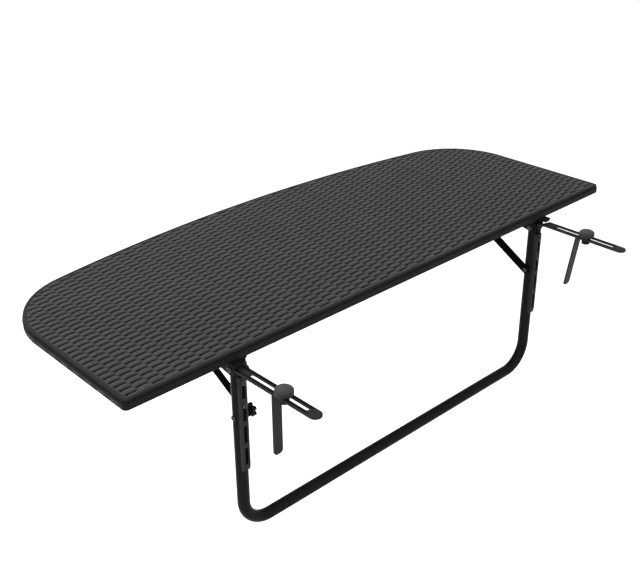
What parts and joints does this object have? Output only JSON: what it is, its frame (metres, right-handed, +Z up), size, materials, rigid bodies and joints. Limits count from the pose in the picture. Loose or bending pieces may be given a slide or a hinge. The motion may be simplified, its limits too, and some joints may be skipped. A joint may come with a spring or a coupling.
{
  "type": "balcony railing table",
  "caption": "Fold-down balcony bar table: woven-look rectangular top on a round-tube U-frame, with slotted railing arms, hooks and clamp knobs.",
  "frame": {"origin": "the railing seat: midway between the two arms along the railing, on the railing-side face of the height rails, at the level of the arms' undersides", "axes": "+X along the railing and the top's long side, +Y from the railing towards the user, +Z up"},
  "size_m": [1.1998, 0.6484, 0.3694],
  "materials": {
    "woven_top": "moulded woven-look plastic, satin",
    "black_steel": "black powder coat, satin",
    "dark_fastener": "blackened steel",
    "black_plastic": "moulded black plastic",
    "grey_plastic": "moulded dark grey plastic"
  },
  "bodies": {
    "frame": {"leg_frame": "black_steel", "left_height_rail": "black_steel", "right_height_rail": "black_steel", "left_leg_plug": "black_plastic", "right_leg_plug": "black_plastic", "left_brace_bolt": "dark_fastener", "right_brace_bolt": "dark_fastener", "left_brace_spacer": "black_plastic", "right_brace_spacer": "black_plastic", "right_brace_nut": "dark_fastener"},
    "top": {"table_top": "woven_top", "left_hinge_bracket": "black_steel", "right_hinge_bracket": "black_steel", "left_hinge_bolt": "dark_fastener", "right_hinge_bolt": "dark_fastener", "left_hinge_nut": "dark_fastener", "right_hinge_nut": "dark_fastener", "hinge_bracket_screws": "dark_fastener", "left_brace_guide": "black_steel", "right_brace_guide": "black_steel", "brace_guide_screws": "dark_fastener"},
    "star_knob": {"star_knob": "black_plastic"},
    "left_brace": {"left_brace": "black_steel", "left_brace_shoe": "black_plastic"},
    "left_arm": {"left_arm": "black_steel", "left_arm_bolts": "dark_fastener"},
    "left_hook": {"left_hook": "black_steel", "left_clamp_washer": "black_plastic", "left_clamp_nut": "black_plastic"},
    "left_clamp_knob": {"left_clamp_knob": "grey_plastic", "left_clamp_stud": "dark_fastener"},
    "right_brace": {"right_brace": "black_steel", "right_brace_shoe": "black_plastic"},
    "right_arm": {"right_arm": "black_steel", "right_arm_bolts": "dark_fastener"},
    "right_hook": {"right_hook": "black_steel", "right_clamp_washer": "black_plastic", "right_clamp_nut": "black_plastic"},
    "right_clamp_knob": {"right_clamp_knob": "grey_plastic", "right_clamp_stud": "dark_fastener"}
  },
  "joints": [
    {"name": "top_fold", "type": "hinge", "parent": "frame", "child": "top", "pos_m": [0, 0.0154, -0.0065], "axis": [-1, 0, 0], "range_deg": [0, 90]},
    {"name": "star_knob_turn", "type": "hinge", "parent": "frame", "child": "star_knob", "pos_m": [-0.363, 0.0154, -0.0995], "axis": [1, 0, 0], "range_deg": [0, 360]},
    {"name": "left_brace_swing", "type": "hinge", "parent": "frame", "child": "left_brace", "pos_m": [-0.37225, 0.0154, -0.0995], "axis": [-1, 0, 0], "range_deg": [0, 121.33]},
    {"name": "left_arm_height", "type": "slide", "parent": "frame", "child": "left_arm", "axis": [0, 0, -1], "range_m": [0, 0.021]},
    {"name": "left_hook_slide", "type": "slide", "parent": "left_arm", "child": "left_hook", "axis": [0, 1, 0], "range_m": [-0.048, 0.07]},
    {"name": "left_clamp_knob_turn", "type": "hinge", "parent": "left_hook", "child": "left_clamp_knob", "pos_m": [-0.398, -0.1091, 0.01], "axis": [0, 0, 1], "range_deg": [0, 360]},
    {"name": "right_brace_swing", "type": "hinge", "parent": "frame", "child": "right_brace", "pos_m": [0.37225, 0.0154, -0.0995], "axis": [-1, 0, 0], "range_deg": [0, 121.33]},
    {"name": "right_arm_height", "type": "slide", "parent": "frame", "child": "right_arm", "axis": [0, 0, -1], "range_m": [0, 0.021]},
    {"name": "right_hook_slide", "type": "slide", "parent": "right_arm", "child": "right_hook", "axis": [0, 1, 0], "range_m": [-0.056, 0.062]},
    {"name": "right_clamp_knob_turn", "type": "hinge", "parent": "right_hook", "child": "right_clamp_knob", "pos_m": [0.398, -0.1006, 0.01], "axis": [0, 0, 1], "range_deg": [0, 360]}
  ],
  "couplings": [
    {"joint": "left_brace_swing", "follows": "top_fold", "ratio": 1.3479},
    {"joint": "right_brace_swing", "follows": "top_fold", "ratio": 1.3479}
  ]
}
